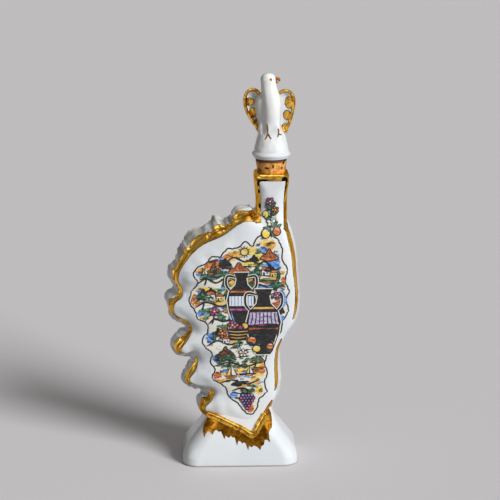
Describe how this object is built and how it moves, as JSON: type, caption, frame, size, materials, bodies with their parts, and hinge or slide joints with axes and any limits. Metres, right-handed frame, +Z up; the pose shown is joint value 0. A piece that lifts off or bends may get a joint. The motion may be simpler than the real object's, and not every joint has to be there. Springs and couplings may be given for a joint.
{
  "type": "liqueur bottle",
  "caption": "Tall porcelain liqueur bottle: a flat flask with a lobed edge on a hollow foot, a square gilded neck, and a cork stopper under a dove finial.",
  "frame": {"origin": "middle of the foot's resting face, on the ground", "axes": "+Z up, front face towards -Y, lobed edge towards -X"},
  "size_m": [0.0956, 0.0498, 0.279],
  "materials": {
    "glazed_porcelain": "glossy white glaze with a faint blue cast",
    "finial_porcelain": "glossy white glaze",
    "gilding": "bright fired gold, hand brushed",
    "printed_transfer": "coloured print under a glossy flux",
    "natural_cork": "orange brown cork with dark pores",
    "dark_glue": "dark brown cured glue"
  },
  "bodies": {
    "bottle": {"flask_shell": "glazed_porcelain", "foot_shell": "glazed_porcelain", "seam_beads": "gilding", "front_transfer": "printed_transfer", "neck_gilding": "gilding"},
    "stopper": {"cork": "natural_cork", "cork_glue": "dark_glue", "finial_mound": "finial_porcelain", "dove_body": "finial_porcelain", "wing_left": "finial_porcelain", "wing_right": "finial_porcelain"}
  },
  "joints": [
    {"name": "stopper_lift", "type": "slide", "parent": "bottle", "child": "stopper", "axis": [0, 0, 1], "range_m": [0, 0.06]}
  ]
}
